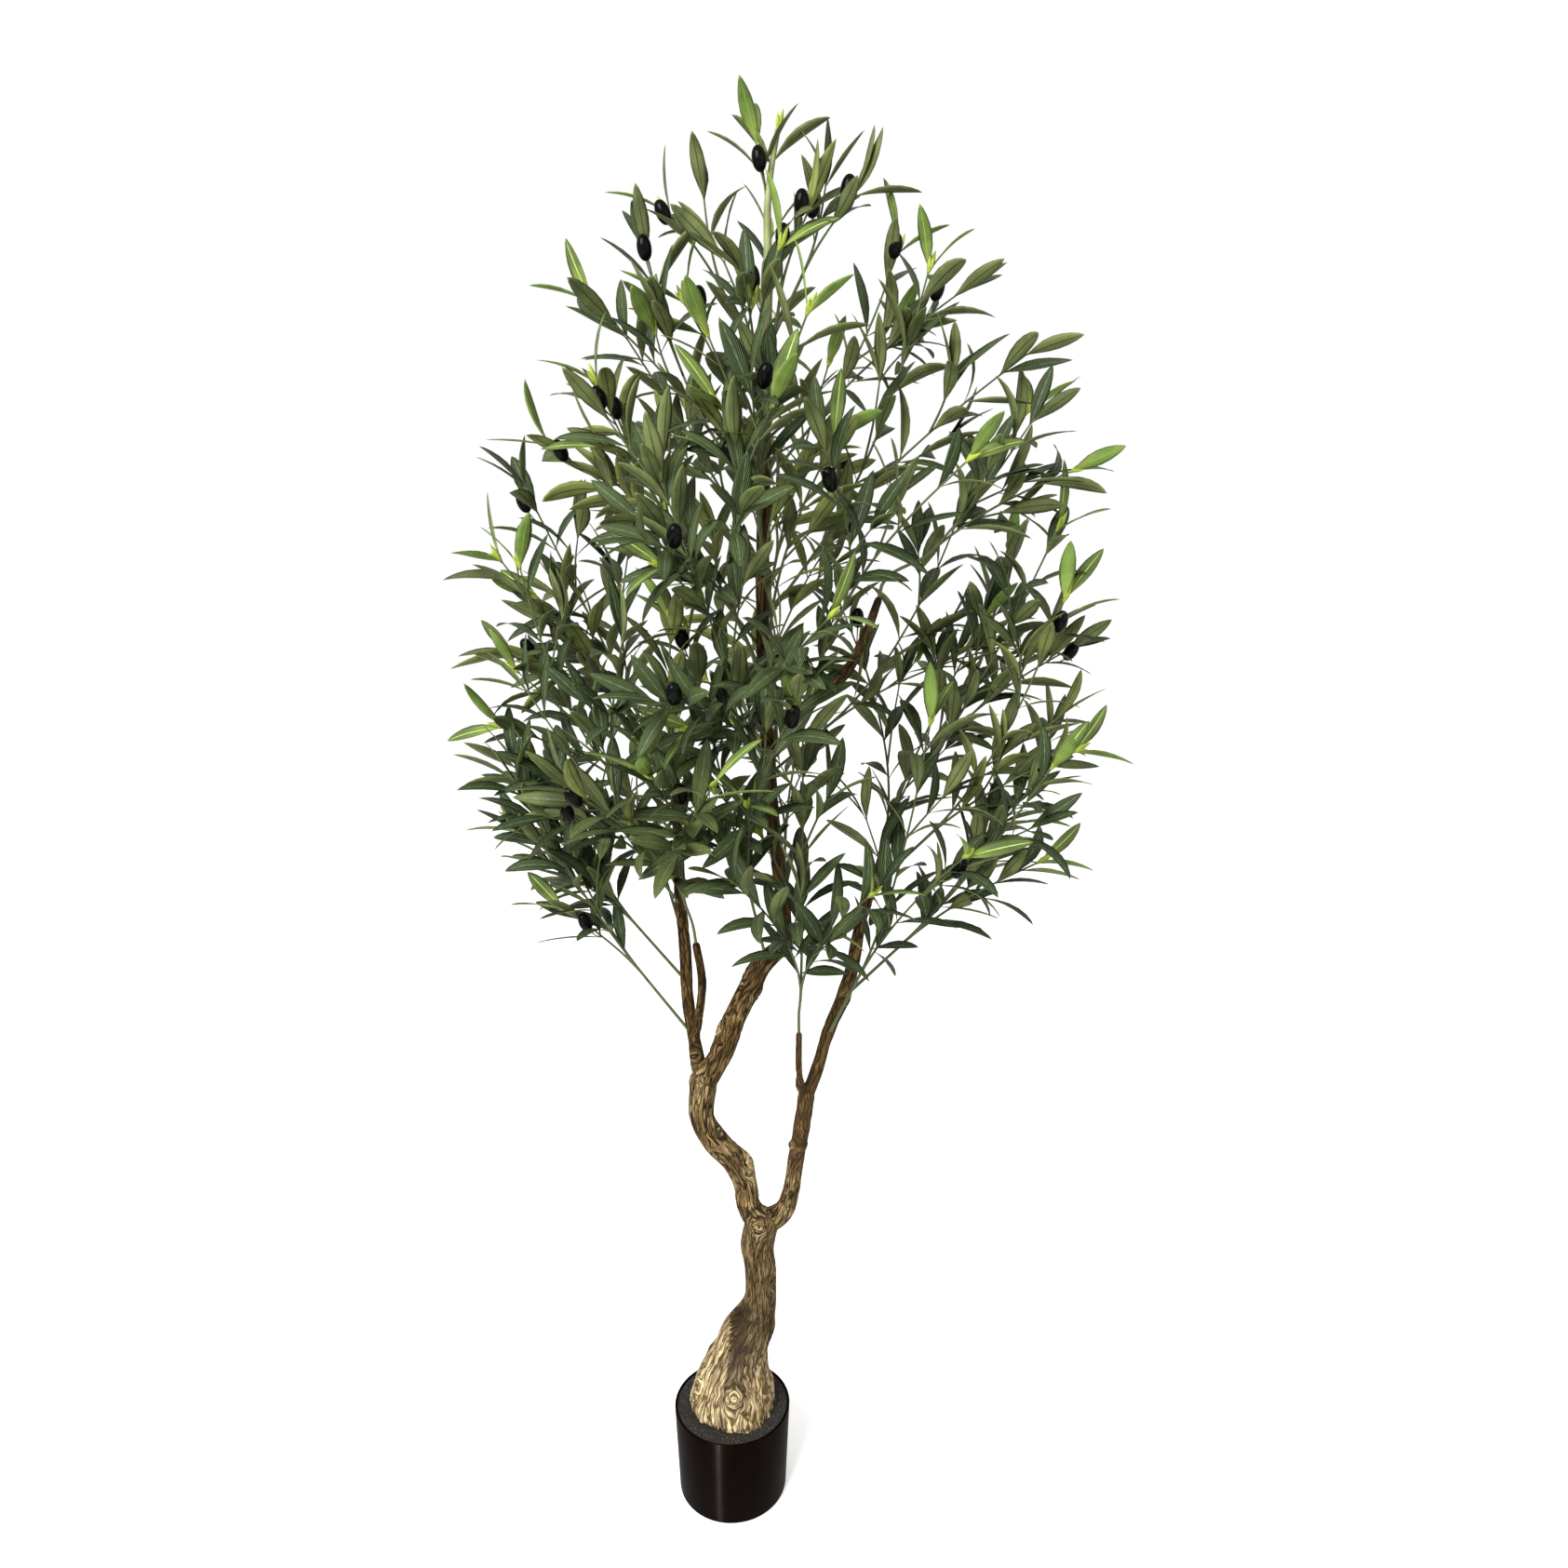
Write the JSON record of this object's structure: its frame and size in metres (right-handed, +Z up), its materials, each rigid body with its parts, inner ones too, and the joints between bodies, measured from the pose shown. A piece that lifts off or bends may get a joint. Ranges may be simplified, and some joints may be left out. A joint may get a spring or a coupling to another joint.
{
  "type": "artificial potted olive tree",
  "caption": "Artificial olive tree with a twisting forked trunk, slim leafy sprays and dark olives, in a round black planter.",
  "frame": {"origin": "centre of the planter's flat underside, on the floor", "axes": "+Z up the tree, +X to the viewer's right, -Y towards the viewer in front"},
  "size_m": [0.8765, 0.6691, 1.85],
  "materials": {
    "planter": "glossy black moulded plastic",
    "fill": "charcoal speckled foam over cement",
    "bark": "moulded and painted bark",
    "foliage": "printed and coated leaf cloth"
  },
  "bodies": {
    "root": {"pot": "planter", "fill": "fill", "trunk": "bark", "left_limb": "bark", "right_limb": "bark", "left_bough": "bark", "bent_bough": "bark", "right_bough": "bark", "left_spur": "bark", "right_spur": "bark", "leader": "bark", "side_bough": "bark", "side_stub": "bark", "spray_low_left": "foliage", "spray_left_side": "foliage", "spray_back_left_low": "foliage", "spray_front_left_low": "foliage", "spray_left_mid": "foliage", "spray_back_left_mid": "foliage", "spray_left_far": "foliage", "spray_front_left": "foliage", "spray_front_low": "foliage", "spray_front_centre": "foliage", "spray_right_inner": "foliage", "spray_right_low": "foliage", "spray_back_right_low": "foliage", "spray_right_side": "foliage", "spray_right_far": "foliage", "spray_back_low": "foliage", "spray_side_tip": "foliage", "spray_side_front": "foliage", "spray_front_belly": "foliage", "spray_back_belly": "foliage", "spray_right_belly": "foliage", "spray_front_middle": "foliage", "spray_left_upper": "foliage", "spray_right_upper": "foliage", "spray_back_middle": "foliage", "spray_front_upper": "foliage", "spray_back_upper": "foliage", "spray_left_high": "foliage", "spray_right_high": "foliage", "spray_front_high": "foliage", "spray_back_high": "foliage", "spray_inner_low": "foliage", "spray_inner_middle": "foliage", "spray_inner_high": "foliage", "spray_left_crown": "foliage", "spray_right_crown": "foliage", "spray_top": "foliage"}
  },
  "joints": []
}
